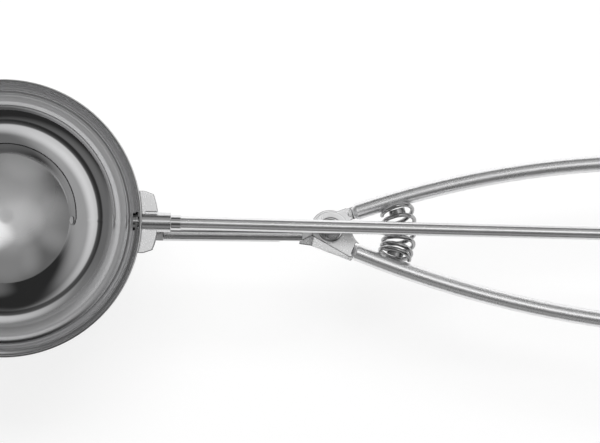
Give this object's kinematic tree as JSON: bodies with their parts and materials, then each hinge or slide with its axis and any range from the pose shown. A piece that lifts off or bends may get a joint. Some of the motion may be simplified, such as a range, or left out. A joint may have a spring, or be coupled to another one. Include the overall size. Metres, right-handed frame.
{
  "type": "lever ice cream scoop",
  "caption": "Hemispherical metal bowl on a long stem, with a rack-driven wiper band inside it worked by squeezing a sprung lever bar towards a bowed fixed bar.",
  "frame": {"origin": "centre of the bowl's sphere, on the stem's axis", "axes": "+X along the stem to the handles, +Z out of the bowl's mouth, +Y towards the moving lever bar"},
  "size_m": [0.2921, 0.084, 0.0455],
  "materials": {
    "bowl_steel": "mirror polish",
    "housing_steel": "satin, pressed sheet",
    "sleeve_steel": "satin, turned",
    "ferrule_steel": "polished, turned",
    "stem_steel": "polished bar",
    "bar_steel": "polished bent bar",
    "rod_steel": "satin bar",
    "bracket_steel": "satin, folded sheet",
    "lever_steel": "satin, stamped plate",
    "rivet_steel": "polished, with a worn dish",
    "spacer_steel": "turned",
    "clip_steel": "satin, pressed",
    "peg_steel": "turned",
    "spring_steel": "bright drawn wire",
    "wiper_steel": "polished spring strip",
    "gear_steel": "machined"
  },
  "bodies": {
    "frame": {"bowl": "bowl_steel", "gear_housing": "housing_steel", "sleeve": "sleeve_steel", "stem_ferrule": "ferrule_steel", "stem": "stem_steel", "stem_saddle": "stem_steel", "pivot_pin": "rivet_steel", "pin_washer": "rivet_steel", "fixed_bracket": "bracket_steel", "upper_spacer": "spacer_steel", "lower_spacer": "spacer_steel", "fixed_bar": "bar_steel", "end_clip": "clip_steel", "tip_pin": "rivet_steel", "fixed_peg": "peg_steel", "spring": "spring_steel"},
    "lever": {"lever_plate": "lever_steel", "lever_bar": "bar_steel", "rack_rod": "rod_steel", "rack": "gear_steel", "lever_peg": "peg_steel"},
    "wiper": {"wiper_band": "wiper_steel", "wiper_shaft": "gear_steel", "wiper_collar": "wiper_steel"}
  },
  "joints": [
    {"name": "lever_squeeze", "type": "hinge", "parent": "frame", "child": "lever", "pos_m": [0.099, -0.0009, -0.0075], "axis": [0, 0, -1], "range_deg": [0, 7], "stiffness_Nm_per_rad": 9, "springref_deg": -5.73, "deforming": ["spring"]},
    {"name": "wiper_sweep", "type": "hinge", "parent": "frame", "child": "wiper", "pos_m": [0, 0, 0], "axis": [1, 0, 0], "range_deg": [0, 168]}
  ],
  "couplings": [
    {"joint": "wiper_sweep", "follows": "lever_squeeze", "ratio": 24}
  ]
}
